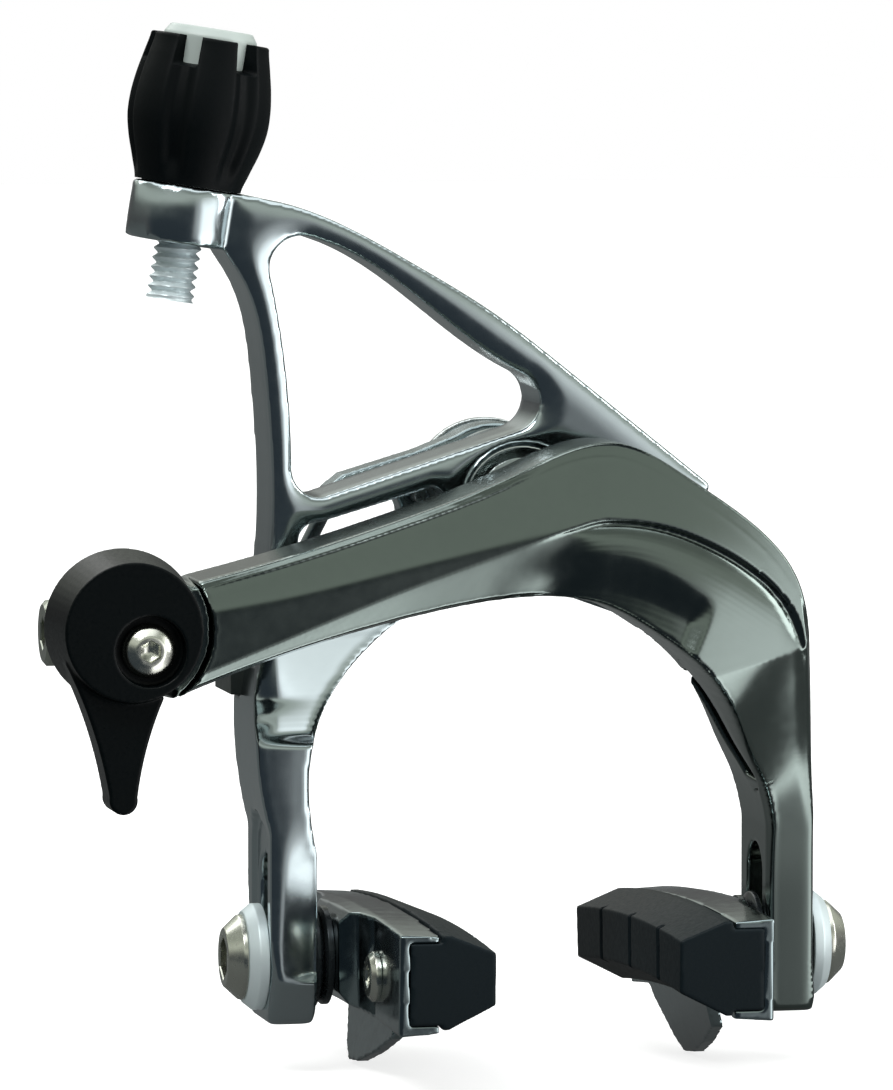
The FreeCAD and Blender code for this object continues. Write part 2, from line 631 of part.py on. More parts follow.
def pad_holder():
    section = [(-21.2, -43.2), (-20.2, -41.9), (-18.4, -41.6), (-14.6, -41.8), (-14.6, -42.5), (-17.6, -42.5),
               (-17.6, -51.0), (-14.6, -51.0), (-14.6, -51.9), (-18.6, -52.2), (-20.4, -51.6), (-21.2, -50.4)]
    body = around_rim(section, 0.3)
    body = body.cut(holder_scoop(PAD_Y - 6.2, -1)).cut(holder_scoop(PAD_Y + 6.2, 1))
    body = join([body, pad_fin()])
    body = body.cut(across(-22.0, -17.0, PAD_Y, PAD_Z, STUD_RADIUS))
    body = body.cut(across(-22.0, -18.8, PAD_SCREW_Y, PAD_Z, 2.9))
    return body.cut(across(-22.0, -17.0, PAD_SCREW_Y, PAD_Z, 1.5))


def pad_insert():
    section = [(-17.6, -42.5), (-14.3, -42.5), (-14.3, -41.7), (-13.4, -41.7), (-8.7, -43.6), (-8.7, -49.0),
               (-13.6, -51.5), (-14.3, -51.5), (-14.3, -51.0), (-17.6, -51.0)]
    rubber = around_rim(section, 0.0)
    for y in PAD_GROOVES:
        rubber = rubber.cut(box(-9.4, -8.0, y - 0.5, y + 0.5, -56.0, -38.0))
    return rubber


def pad_bolt():
    back = LEFT_OUTER - OUTER_WASHER
    head = Part.makeCone(4.5, 3.0, 2.0, vec(back, PAD_Y, PAD_Z), vec(-1, 0, 0))
    shank = across(back, -17.7, PAD_Y, PAD_Z, STUD_RADIUS)
    return join([head, shank]).cut(hex_across(back - 3.0, back - 0.6, PAD_Y, PAD_Z, 4.0))


def outer_washer():
    ring = Part.makeCone(5.6, 5.0, OUTER_WASHER, vec(LEFT_OUTER, PAD_Y, PAD_Z), vec(-1, 0, 0))
    return ring.cut(across(-31.0, -28.0, PAD_Y, PAD_Z, STUD_RADIUS))


def domed_washer():
    ring = across(LEFT_INNER, LEFT_INNER + 1.0, PAD_Y, PAD_Z, 5.6)
    return ring.cut(across(-24.0, -22.0, PAD_Y, PAD_Z, STUD_RADIUS))


def cupped_washer():
    ring = across(LEFT_INNER + 1.0, -21.2, PAD_Y, PAD_Z, 5.2)
    return ring.cut(across(-24.0, -21.0, PAD_Y, PAD_Z, STUD_RADIUS))


def pad_screw():
    head = across(-19.9, -18.8, PAD_SCREW_Y, PAD_Z, 2.65)
    shank = across(-18.8, -17.7, PAD_SCREW_Y, PAD_Z, 1.5)
    return join([head, shank]).cut(hex_across(-21.0, -19.2, PAD_SCREW_Y, PAD_Z, 2.0))


def left_side(shape):
    shape.rotate(vec(0, PAD_Y, PAD_Z), vec(1, 0, 0), -PAD_TILT_LEFT)
    return shape


def right_side(name, shape):
    shape = shape.mirror(vec(MIRROR_X, 0, 0), vec(1, 0, 0))
    if name in ("pad_bolt", "outer_washer"):
        shape.translate(vec(RIGHT_OUTER - (2 * MIRROR_X - LEFT_OUTER), 0, 0))
    shape.rotate(vec(0, PAD_Y, PAD_Z), vec(1, 0, 0), -PAD_TILT_RIGHT)
    return shape


def export(name, shape):
    shape.exportStep("parts/" + name + ".step")


export("mounting_bolt", mounting_bolt())
export("crown_washer", crown_washer())
export("pivot_bracket", pivot_bracket())
export("spring_pin", spring_pin())
export("side_pivot_bolt", side_pivot_bolt())
export("centre_washer", centre_washer())
export("centre_nut", centre_nut())
export("rear_arm", rear_arm())
export("centre_bushing", centre_bushing())
export("centring_screw", centring_screw())
export("spring_slider", spring_slider())
export("return_spring", return_spring())
export("front_arm", front_arm())
export("side_bushing", side_bushing())
export("release_lever", release_lever())
export("release_screw", release_screw())
export("release_spindle", release_spindle())
export("release_clip", release_clip())
export("anchor_block", anchor_block())
export("cable_clamp", cable_clamp())
export("anchor_bolt", anchor_bolt())
export("adjuster_bolt", adjuster_bolt())
export("adjuster_knob", adjuster_knob())
export("adjuster_grip", adjuster_grip())

PAD_PIECES = [
    ("pad_bolt", pad_bolt),
    ("outer_washer", outer_washer),
    ("domed_washer", domed_washer),
    ("cupped_washer", cupped_washer),
    ("pad_holder", pad_holder),
    ("pad_insert", pad_insert),
    ("pad_screw", pad_screw),
]
for name, build in PAD_PIECES:
    export(name + "_left", left_side(build()))
    export(name + "_right", right_side(name, build()))
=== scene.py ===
import bpy
import bmesh
import json
import math
import numpy as np
from mathutils import Matrix, Vector
from mathutils.kdtree import KDTree


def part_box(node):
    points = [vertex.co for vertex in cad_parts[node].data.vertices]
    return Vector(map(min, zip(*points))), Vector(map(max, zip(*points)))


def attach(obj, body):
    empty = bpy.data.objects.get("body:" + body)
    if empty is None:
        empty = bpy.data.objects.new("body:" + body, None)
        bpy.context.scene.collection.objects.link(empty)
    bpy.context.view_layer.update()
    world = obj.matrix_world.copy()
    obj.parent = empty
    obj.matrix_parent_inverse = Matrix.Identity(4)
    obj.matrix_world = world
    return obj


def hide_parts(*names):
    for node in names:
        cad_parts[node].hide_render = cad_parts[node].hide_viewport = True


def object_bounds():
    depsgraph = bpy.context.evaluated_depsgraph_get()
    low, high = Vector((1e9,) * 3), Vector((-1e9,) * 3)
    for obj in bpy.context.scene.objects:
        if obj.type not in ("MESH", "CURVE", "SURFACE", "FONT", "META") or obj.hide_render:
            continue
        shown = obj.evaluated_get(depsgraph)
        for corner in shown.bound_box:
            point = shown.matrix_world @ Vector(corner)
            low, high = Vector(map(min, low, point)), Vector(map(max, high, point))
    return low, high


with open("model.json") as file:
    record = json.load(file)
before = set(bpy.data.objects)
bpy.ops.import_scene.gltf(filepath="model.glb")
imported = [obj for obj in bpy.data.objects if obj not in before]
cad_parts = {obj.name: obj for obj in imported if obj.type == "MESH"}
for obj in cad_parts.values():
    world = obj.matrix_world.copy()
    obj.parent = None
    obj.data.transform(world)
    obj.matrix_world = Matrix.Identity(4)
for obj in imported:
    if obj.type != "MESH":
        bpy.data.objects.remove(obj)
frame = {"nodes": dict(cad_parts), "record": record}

# Lengths are in millimetres until a mesh is made, and metres in Blender
MM = 0.001
nodes = frame["nodes"]
cad_low, cad_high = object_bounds()

BODY = {}
for body, members in frame["record"]["behaviour"]["bodies"].items():
    for member in members:
        BODY[member] = body


# Shader nodes

NOISE_LOW, NOISE_HIGH = 0.3, 0.7    # nearly all of a noise texture lies between these values
SLOW_SCALE, SLOW_DETAIL, FINE_DETAIL = 60.0, 3.0, 5.0


def shader(name):
    material = bpy.data.materials.new(name)
    material.use_nodes = True
    tree = material.node_tree
    return material, tree, tree.nodes["Principled BSDF"]


def noise(tree, scale, detail):
    coordinate = tree.nodes.new("ShaderNodeTexCoord")
    texture = tree.nodes.new("ShaderNodeTexNoise")
    texture.inputs["Scale"].default_value = scale
    texture.inputs["Detail"].default_value = detail
    tree.links.new(coordinate.outputs["Object"], texture.inputs["Vector"])
    return texture.outputs["Fac"]


def spread(tree, source, low, high):
    mapped = tree.nodes.new("ShaderNodeMapRange")
    mapped.inputs["From Min"].default_value = NOISE_LOW
    mapped.inputs["From Max"].default_value = NOISE_HIGH
    mapped.inputs["To Min"].default_value = low
    mapped.inputs["To Max"].default_value = high
    tree.links.new(source, mapped.inputs["Value"])
    return mapped.outputs["Result"]


def bump(tree, source, bsdf, depth, strength):
    node = tree.nodes.new("ShaderNodeBump")
    node.inputs["Strength"].default_value = strength
    node.inputs["Distance"].default_value = depth * MM
    tree.links.new(source, node.inputs["Height"])
    tree.links.new(node.outputs["Normal"], bsdf.inputs["Normal"])


def ramp(tree, factor, stops):
    """Colours that change between stops, each a position from 0 to 1 and a colour."""
    node = tree.nodes.new("ShaderNodeValToRGB")
    elements = node.color_ramp.elements
    while len(elements) < len(stops):
        elements.new(0.5)
    for element, (position, colour) in zip(elements, stops):
        element.position = position
        element.color = (*colour, 1.0)
    tree.links.new(factor, node.inputs["Fac"])
    return node.outputs["Color"]


def maths(tree, operation, a, b):
    node = tree.nodes.new("ShaderNodeMath")
    node.operation = operation
    for socket, value in zip(node.inputs, (a, b)):
        if isinstance(value, float):
            socket.default_value = value
        else:
            tree.links.new(value, socket)
    return node.outputs["Value"]


def mixed(tree, factor, a, b):
    node = tree.nodes.new("ShaderNodeMix")
    node.data_type = "RGBA"
    tree.links.new(factor, node.inputs["Factor"])
    for socket, value in ((node.inputs["A"], a), (node.inputs["B"], b)):
        if isinstance(value, tuple):
            socket.default_value = (*value, 1.0)
        else:
            tree.links.new(value, socket)
    return node.outputs["Result"]


# Materials

def surface(name, colour, rough, metallic, grain=900.0, depth=0.02, strength=0.2, vary=0.08,
            rough_vary=0.05, specular=0.5):
    """A finish with slow tone changes, uneven roughness and a fine grain."""
    material, tree, bsdf = shader(name)
    slow = noise(tree, SLOW_SCALE, SLOW_DETAIL)
    fine = noise(tree, grain, FINE_DETAIL)
    dark = tuple(c * (1.0 - vary) for c in colour)
    light = tuple(min(1.0, c * (1.0 + vary)) for c in colour)
    tone = ramp(tree, slow, [(NOISE_LOW, dark), (NOISE_HIGH, light)])
    tree.links.new(tone, bsdf.inputs["Base Color"])
    tree.links.new(spread(tree, fine, rough - rough_vary, rough + rough_vary),
                   bsdf.inputs["Roughness"])
    bump(tree, fine, bsdf, depth, strength)
    bsdf.inputs["Metallic"].default_value = metallic
    bsdf.inputs["Specular IOR Level"].default_value = specular
    return material


FINISH = {
    "front_arm": surface("gunmetal_dark", (0.140, 0.168, 0.158), 0.17, 1.0, depth=0.001,
                         vary=0.02, rough_vary=0.02),
    "rear_arm": surface("gunmetal_light", (0.38, 0.435, 0.45), 0.17, 1.0, depth=0.001,
                        vary=0.02, rough_vary=0.02),
    "bracket": surface("gunmetal_bracket", (0.22, 0.27, 0.28), 0.26, 1.0, depth=0.003),
    "anchor": surface("nickel_anchor", (0.36, 0.38, 0.33), 0.32, 1.0),
    "holder": surface("smoky_holder", (0.24, 0.29, 0.30), 0.13, 1.0, depth=0.002),
    "core": surface("pale_core", (0.36, 0.41, 0.39), 0.42, 0.0, vary=0.04),
    "silver": surface("satin_silver", (0.62, 0.70, 0.72), 0.50, 0.5, grain=2400.0, vary=0.03),
    "black": surface("satin_black", (0.0012, 0.0022, 0.0025), 0.32, 0.0, grain=2600.0,
                     depth=0.006, specular=0.09),
    "grip": surface("grip_rubber", (0.0012, 0.0022, 0.0026), 0.50, 0.0, grain=1800.0,
                    specular=0.07),
    "pad": surface("pad_rubber", (0.0040, 0.0078, 0.0100), 0.50, 0.0, grain=2200.0,
                   depth=0.04, strength=0.5, specular=0.10),
    "nickel": surface("nickel", (0.55, 0.56, 0.50), 0.24, 1.0, grain=1800.0, depth=0.003),
    "chrome": surface("chrome", (0.66, 0.70, 0.71), 0.10, 1.0, grain=1200.0, depth=0.002),
    "steel": surface("steel", (0.45, 0.48, 0.48), 0.26, 1.0, grain=1500.0, depth=0.003),
    "spring": surface("dark_spring", (0.16, 0.18, 0.19), 0.30, 1.0, grain=1500.0, depth=0.003),
    "dark_washer": surface("dark_washer", (0.02, 0.025, 0.028), 0.28, 0.6, specular=0.3),
    "polymer": surface("bearing_polymer", (0.04, 0.045, 0.045), 0.5, 0.0),
    "slider": surface("slider_plastic", (0.02, 0.025, 0.023), 0.42, 0.0, specular=0.3),
}


# Meshes

CAD_WELD, WELD = 0.001, 0.0005      # points nearer than this become one
SHARP_DRAWN = math.radians(35.0)    # steeper edges of turned pieces stay sharp
SHARP_CAD = math.radians(30.0)      # steeper edges of a CAD node bound a crowned face
EDGE_SPACING = 0.3
RELAX_KEEP = 0.94                   # share of each inward step that is taken back outward
SPREAD = 0.6                        # share of the neighbours in each round of evening out


def finish(piece, slot, *cad):
    """Gives a piece the finish of a slot, and the body of the CAD nodes it stands for."""
    piece.data.materials.clear()
    piece.data.materials.append(FINISH[slot])
    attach(piece, BODY[cad[0]])
    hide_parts(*cad)


def object_from(name, verts, faces):
    mesh = bpy.data.meshes.new(name)
    mesh.from_pydata([tuple(c * MM for c in v) for v in verts], [], faces)
    piece = bpy.data.objects.new(name, mesh)
    bpy.context.scene.collection.objects.link(piece)
    shape = bmesh.new()
    shape.from_mesh(mesh)
    bmesh.ops.remove_doubles(shape, verts=shape.verts, dist=WELD * MM)
    bmesh.ops.recalc_face_normals(shape, faces=shape.faces)
    for face in shape.faces:
        face.smooth = True
    for edge in shape.edges:
        edge.smooth = not (edge.is_manifold and edge.calc_face_angle(0.0) > SHARP_DRAWN)
    shape.to_mesh(mesh)
    shape.free()
    return piece


def cad_copy(node):
    """Closed copy of a CAD node, in millimetres."""
    mesh = nodes[node].data.copy()
    mesh.transform(Matrix.Scale(1.0 / MM, 4))
    shape = bmesh.new()
    shape.from_mesh(mesh)
    bmesh.ops.remove_doubles(shape, verts=shape.verts, dist=CAD_WELD)
    shape.to_mesh(mesh)
    shape.free()
    return mesh


def edge_points(mesh):
    """Points along the sharp edges of a closed mesh, as a search tree."""
    shape = bmesh.new()
    shape.from_mesh(mesh)
    points = []
    for edge in shape.edges:
        if edge.is_manifold and edge.calc_face_angle(0.0) > SHARP_CAD:
            a, b = edge.verts[0].co, edge.verts[1].co
            count = max(1, int((b - a).length / EDGE_SPACING))
            points += [a.lerp(b, i / count) for i in range(count + 1)]
    shape.free()
    tree = KDTree(len(points))
    for i, point in enumerate(points):
        tree.insert(point, i)
    tree.balance()
    return tree


def arrays(mesh):
    """Points, edges, and the number of edges at each point."""
    points = np.empty(len(mesh.vertices) * 3)
    mesh.vertices.foreach_get("co", points)
    edges = np.empty(len(mesh.edges) * 2, np.int32)
    mesh.edges.foreach_get("vertices", edges)
    edges = edges.reshape(-1, 2)
    degree = np.bincount(edges.ravel(), minlength=len(mesh.vertices)).reshape(-1, 1)
    return points.reshape(-1, 3), edges, degree


def normals_of(mesh):
    normals = np.empty(len(mesh.vertices) * 3)
    mesh.vertices.foreach_get("normal", normals)
    return normals.reshape(-1, 3)


def neighbours_mean(values, edges, degree):
    total = np.empty_like(values)
    a, b = edges.T
    count = len(values)
    for k in range(values.shape[1]):
        total[:, k] = np.bincount(a, values[b, k], count) + np.bincount(b, values[a, k], count)
    return total / degree


def relax(mesh, rounds, weight=None, keep=RELAX_KEEP):
    """Moves each point to the mean of its neighbours, then most of the way back out."""
    points, edges, degree = arrays(mesh)
    share = 1.0 if weight is None else np.clip(weight(*points.T), 0.0, 1.0).reshape(-1, 1)
    for turn in range(rounds):
        step = 0.5 if turn % 2 == 0 else -0.5 * keep
        points = points + step * share * (neighbours_mean(points, edges, degree) - points)
    mesh.vertices.foreach_set("co", points.ravel())
    mesh.update()


def push(mesh, shift, direction, rounds):
    """Moves each point along a direction by a field that is first evened out."""
    points, edges, degree = arrays(mesh)
    shift = shift.reshape(-1, 1)
    for turn in range(rounds):
        shift = (1.0 - SPREAD) * shift + SPREAD * neighbours_mean(shift, edges, degree)
    points = points + shift * direction
    mesh.vertices.foreach_set("co", points.ravel())
    mesh.update()


def remeshed(node, voxel):
    """Even mesh of small faces over a CAD node, in millimetres."""
    piece = bpy.data.objects.new(node + "_form", cad_copy(node))
    bpy.context.scene.collection.objects.link(piece)
    modifier = piece.modifiers.new("remesh", "REMESH")
    modifier.mode = "VOXEL"
    modifier.voxel_size = voxel
    bpy.context.view_layer.update()
    evaluated = piece.evaluated_get(bpy.context.evaluated_depsgraph_get())
    built = bpy.data.meshes.new_from_object(evaluated)
    piece.modifiers.clear()
    piece.data = built
    return piece


def settle(piece):
    """Brings a piece from millimetres to metres and shades it smooth."""
    piece.data.transform(Matrix.Scale(MM, 4))
    for polygon in piece.data.polygons:
        polygon.use_smooth = True
    return piece


def rounded(node, slot, voxel, rounds=8):
    """Copy of a CAD node with its edges melted a little, as on moulded or machined parts."""
    piece = remeshed(node, voxel)
    relax(piece.data, rounds)
    finish(settle(piece), slot, node)


def crowned(mesh, edges, height, width, share):
    """Swells the faces between sharp edges, so they curve as polished forgings do."""
    points, normals = arrays(mesh)[0], normals_of(mesh)
    reach = np.array([edges.find(p)[2] for p in points])
    rise = height * (1.0 - (1.0 - np.minimum(reach / width, 1.0)) ** 2)
    push(mesh, rise * share(points, normals), normals, 2)


def basis(axis):
    axis = Vector(axis).normalized()
    side = axis.cross(Vector((0, 0, 1)))
    if side.length < 0.1:
        side = axis.cross(Vector((1, 0, 0)))
    side.normalize()
    return side, axis.cross(side), axis


def turned(name, centre, axis, rings, segments=96):
    """Turned surface. Each ring is (radius or function of height and angle, height)."""
    u, v, w = basis(axis)
    verts, faces = [], []
    for radius, height in rings:
        for i in range(segments):
            angle = 2 * math.pi * i / segments
            r = radius(height, angle) if callable(radius) else radius
            outward = u * math.cos(angle) + v * math.sin(angle)
            verts.append(Vector(centre) + w * height + outward * r)
    for k in range(len(rings) - 1):
        for i in range(segments):
            j = (i + 1) % segments
            a, b = k * segments, (k + 1) * segments
            faces.append((a + i, a + j, b + j, b + i))
    return object_from(name, verts, faces)


def corner(r0, h0, r1, h1, r2, h2, radius, steps=5):
    """Rings of a rounded corner at the middle one of three profile points."""
    p, a, b = Vector((r1, h1)), Vector((r0, h0)), Vector((r2, h2))
    start, end = p + (a - p).normalized() * radius, p + (b - p).normalized() * radius
    rings = []
    for i in range(steps + 1):
        t = i / steps
        q = start.lerp(p, t).lerp(p.lerp(end, t), t)
        rings.append((q.x, q.y))
    return rings


def profile(points, radius):
    """Rings of a profile whose inner points are rounded."""
    rings = [points[0]]
    for k in range(1, len(points) - 1):
        rings += corner(*points[k - 1], *points[k], *points[k + 1], radius)
    return rings + [points[-1]]


def ease(value, start, end):
    """Smooth change from 0 to 1 as a value goes from start to end, which may lie below it."""
    t = min(1.0, max(0.0, (value - start) / (end - start)))
    return t * t * (3.0 - 2.0 * t)


def soft_ramp(value, blend):
    """Zero below zero and a straight rise above it, with a round change between the two."""
    return 0.5 * (value + math.sqrt(value * value + blend * blend)) - 0.5 * blend


def through(values, i, f):
    """Smooth curve through a row of values, at fraction f between value i and the next."""
    last = len(values) - 1
    a, b, c, d = (values[min(last, max(0, i + k))] for k in (-1, 0, 1, 2))
    bend = (a * 2 - b * 5 + c * 4 - d) * f ** 2 + (b * 3 - a - c * 3 + d) * f ** 3
    return b + ((c - a) * f + bend) * 0.5


# Front arm

# Lines across the front of the arm, as x and z: upper end, lower end, share above the crease
ARM_LINES = [
    ((-37.4, -6.5), (-40.2, -18.8), 0.85), ((-28.7, -4.3), (-30.9, -15.3), 0.82),
    ((-14.3, 0.1), (-15.5, -10.9), 0.68), ((-3.0, 4.4), (-3.5, -8.9), 0.58),
    ((2.9, 6.8), (1.6, -8.9), 0.53), ((7.6, 7.1), (5.2, -9.6), 0.47),
    ((14.7, 3.5), (10.0, -12.1), 0.34), ((22.0, -1.7), (15.0, -15.9), 0.25),
    ((26.6, -7.4), (18.8, -20.6), 0.18), ((28.3, -14.6), (21.4, -25.2), 0.12),
    ((29.4, -23.0), (23.7, -29.0), 0.1), ((30.2, -29.5), (24.9, -32.4), 0.1),
    ((30.5, -34.0), (25.2, -36.0), 0.1), ((30.5, -39.0), (25.2, -40.0), 0.1),
    ((30.5, -45.0), (25.2, -45.0), 0.1), ((30.5, -54.0), (25.2, -54.0), 0.1)]
LINE_STEPS = 40                     # places between one line and the next
ARM_FRONT = -35.0                   # y of the flat front
NOT_FRONT = -22.0                   # faces behind this y are walls of slots, or bosses
MOST_FORWARD, MOST_BACK = -6.5, 4.0
STEP_DEPTH = 1.2                    # the fold under the crease on the shoulder
RIGHT_EDGE = ((7.4, 14.6, 23.0, 29.5, 34.0), (26.6, 28.3, 29.4, 30.2, 30.5))    # -z and x
RIDGE_LEVEL, RIDGE_SLOPE, RIDGE_X = -14.6, 0.25, 26.5
LEG_SLOPE, LEG_STRAIGHT, LEG_FADE = 0.44, 6.0, 23.0


def arm_places():
    """Search tree over lines across the front arm, seen from the front, and the lines."""
    rows = [[Vector(line[0]) for line in ARM_LINES], [Vector(line[1]) for line in ARM_LINES],
            [line[2] for line in ARM_LINES]]
    lines, points = [], []
    for i in range(len(ARM_LINES) - 1):
        for j in range(LINE_STEPS):
            f = j / LINE_STEPS
            top, low, crease = (through(row, i, f) for row in rows)
            lines.append((i + f, top, low - top, crease))
            points += [(top.lerp(low, k / 30), len(lines) - 1) for k in range(-2, 33)]
    tree = KDTree(len(points))
    for place, line in points:
        tree.insert((place.x, 0.0, place.y), line)
    tree.balance()
    return tree, lines


def arm_place(tree, lines, p):
    """Where a point lies on the arm: along it, counted in ARM_LINES, across it as a share of
    its width, the crease and the width there, its level on the leg, and how far it lies inside
    the right edge."""
    spot = Vector((p[0], p[2]))
    index = tree.find((p[0], 0.0, p[2]))[1]

    def off(k):
        top, cross = lines[k][1:3]
        return (spot - top).cross(cross) / cross.length
    here, other, f = off(index), index, 0.0
    for side in (1, -1):
        while 0 <= index + side < len(lines) and abs(off(index + side)) < abs(here):
            index += side
            here = off(index)
    for side in (1, -1):
        if 0 <= index + side < len(lines) and off(index + side) * here < 0.0:
            other, f = index + side, here / (here - off(index + side))
    along, top, cross, crease = (a + (b - a) * f for a, b in zip(lines[index], lines[other]))
    across = (spot - top).dot(cross) / cross.length_squared
    level = p[2] - RIDGE_SLOPE * (p[0] - RIDGE_X)
    beside = np.interp(-p[2], *RIGHT_EDGE) - p[0]
    return along, across, crease, cross.length, level, beside


def leg_recess(level):
    """How far the leg's front lies back: a straight slope below the ridge that fades out."""
    down = max(0.0, RIDGE_LEVEL - level)
    fading = min(LEG_FADE, max(0.0, down - LEG_STRAIGHT))
    t = fading / LEG_FADE
    return LEG_SLOPE * (min(down, LEG_STRAIGHT) + fading - LEG_FADE * (t ** 3 - t ** 4 / 2))


def below_crease(along, across, crease, width):
    """How far the front lies back below the crease: a flat chamfer on the long part, and a
    fold, a tilt and a shallow hollow on the shoulder."""
    below = (across - crease) * width
    on_shoulder = ease(along, 3.0, 5.0)
    swell = 0.4 * (1.0 - math.exp(-below / 0.5)) + 1.0 * (1.0 - math.exp(-below / 2.0))
    fold = on_shoulder * ease(along, 9.2, 8.0) * (STEP_DEPTH * ease(below, 0.0, 0.3) - swell)
    tilt = (0.02 + 0.13 * ease(along, 4.8, 7.0)) * on_shoulder * ease(along, 11.0, 8.0)
    chamfer = 0.30 * ease(along, 5.0, 2.6) * soft_ramp(across - crease, 0.015) * width
    edge = 3.0 + 0.8 * (along - 4.5)
    hollow = ease(below, edge, edge + 4.0) * ease(along, 2.8, 4.2) * ease(along, 6.9, 6.6)
    return fold - tilt * below + chamfer + hollow


def arm_front(along, across, crease, width, level, beside):
    """Depth of the polished front of the arm at a place given by arm_place."""
    band = 0.28 + (crease - 0.28) * ease(along, -0.2, 4.0)
    upper = 0.25 * width * soft_ramp(band - across, 0.03) * ease(along, 9.2, 7.6)
    lower = below_crease(along, across, crease, width) if across > crease else 0.0
    turn = 0.6 * (soft_ramp(along - 6.6, 0.6) - soft_ramp(along - 8.6, 0.6))
    strip = 2.2 - 1.3 * ease(level, -24.0, -36.0)
    side = 0.30 * soft_ramp(strip - beside, 0.25)
    side *= ease(level, RIDGE_LEVEL + 0.6, RIDGE_LEVEL - 1.0)
    return ARM_FRONT + upper + lower + side + turn + leg_recess(level)


def soft_foot(x, y, z):
    return (-52.5 - z) / 2.0


def front_arm_form():
    """The front arm, with its front drawn as one smooth surface and its edges melted."""
    piece = remeshed("front_arm", 0.22)
    mesh = piece.data
    relax(mesh, 10)
    tree, lines = arm_places()
    points, normals = arrays(mesh)[0], normals_of(mesh)
    shift = np.zeros(len(points))
    for n, p in enumerate(points):
        facing = ease(-normals[n][1], 0.25, 0.6)
        if facing == 0.0 or p[1] > NOT_FRONT:
            continue
        target = arm_front(*arm_place(tree, lines, p))
        shift[n] = facing * max(MOST_FORWARD, min(MOST_BACK, target - p[1]))
    push(mesh, shift, np.array((0.0, 1.0, 0.0)), 1)
    relax(mesh, 10)
    # The outer edge, the bend into the leg and the foot are rounder
    relax(mesh, 30, lambda x, y, z: (x - 23.0) / 3.0 * (z < -6.0))
    relax(mesh, 20, lambda x, y, z: (1.0 - np.abs(z + 26.0) / 9.0) * (x > 15.0), 0.8)
    relax(mesh, 60, soft_foot, 0.0)
    finish(settle(piece), "front_arm", "front_arm")


# Rear arm

CROWN_HEIGHT, CROWN_WIDTH = 0.42, 2.6
LEG_TOP = -6.0                      # the leg lies left of this x and below this z
SLOPE_BACK = -19.6                  # the slope of the leg lies no farther back than this y
MOST_TURNED = 1.2


def above_leg(points, normals):
    """Share of the crown: on faces to the front, and less on the leg."""
    facing = np.clip((0.15 - normals[:, 1]) / 0.5, 0.0, 1.0)
    leg = (points[:, 0] < -12.0) * np.clip((-8.0 - points[:, 2]) / 6.0, 0.0, 1.0)
    return facing * (1.0 - 0.8 * leg)


def leg_shift(x, y, z):
    """How far a point on the front of the left leg is moved back."""
    # A bright slope that comes forward down to the bend, held clear of the front arm's path
    clear = -24.0 - 2.2 * ease(z, -19.6, -22.6)
    slope = -25.2 + 0.17 * (z + 23.8) + 0.25 * (x + 28.5)
    slope = min(SLOPE_BACK, clear + soft_ramp(slope - clear, 0.5))
    share = ease(z, -7.0, -11.0) * ease(z, -24.4, -23.5)
    share *= ease(x, -8.0, -11.0) * ease(x, -30.4, -28.9)
    # Its left edge lies back, so the front arm passes it
    passing = 0.7 * ease(x, -27.4, -28.8) * ease(z, -23.6, -22.0) * ease(z, -12.0, -15.0)
    # The front of the lower leg turns to the right
    turned_by = min(MOST_TURNED, 0.19 * max(0.0, x + 26.6 - 0.066 * (z + 36.0)))
    turned_by *= ease(z, -31.5, -37.5) * ease(z, -49.4, -48.6)
    return share * (slope - y) + passing + turned_by


def rear_arm_form():
    """The rear arm: crowned struts, a soft neck under the boss, and a leg that turns."""
    piece = remeshed("rear_arm", 0.3)
    mesh = piece.data
    relax(mesh, 10)
    crowned(mesh, edge_points(cad_copy("rear_arm")), CROWN_HEIGHT, CROWN_WIDTH, above_leg)
    points, normals = arrays(mesh)[0], normals_of(mesh)
    shift = np.zeros(len(points))
    for n, (x, y, z) in enumerate(points):
        facing = ease(-normals[n][1], 0.1, 0.6)
        if facing > 0.0 and x <= LEG_TOP and z <= LEG_TOP:
            shift[n] = facing * leg_shift(x, y, z)
    push(mesh, shift, np.array((0.0, 1.0, 0.0)), 3)
    # The neck, the middle of the leg and the foot are rounder
    relax(mesh, 60, lambda x, y, z: 1.0 - np.sqrt(
        (x + 28.5) ** 2 + (y + 16.0) ** 2 + (z - 29.0) ** 2) / 6.5, 0.8)
    relax(mesh, 24, lambda x, y, z: (x < -8.0) * (1.0 - np.abs(z + 15.0) / 9.0), 0.8)
    relax(mesh, 60, soft_foot, 0.0)
    relax(mesh, 16)
    finish(settle(piece), "rear_arm", "rear_arm")


front_arm_form()
rear_arm_form()

# Pieces that keep their CAD form with softer edges: node, slot and size of the voxels

for node, slot, voxel in [
        ("pivot_bracket", "bracket", 0.3), ("release_lever", "black", 0.16),
        ("adjuster_knob", "core", 0.16), ("pad_holder_left", "holder", 0.2),
        ("pad_holder_right", "holder", 0.2), ("pad_insert_left", "pad", 0.2),
        ("pad_insert_right", "pad", 0.2), ("anchor_block", "anchor", 0.15),
        ("cable_clamp", "anchor", 0.12), ("spring_slider", "slider", 0.12),
        ("crown_washer", "steel", 0.2), ("spring_pin", "steel", 0.12),
        ("side_pivot_bolt", "steel", 0.15), ("centre_washer", "chrome", 0.12),
        ("centre_nut", "chrome", 0.15), ("centring_screw", "steel", 0.12),
        ("release_spindle", "steel", 0.15), ("release_clip", "steel", 0.12),
        ("return_spring", "spring", 0.15), ("side_bushing", "polymer", 0.25),
        ("centre_bushing", "polymer", 0.25)]:
    rounded(node, slot, voxel)


# Fasteners and threads

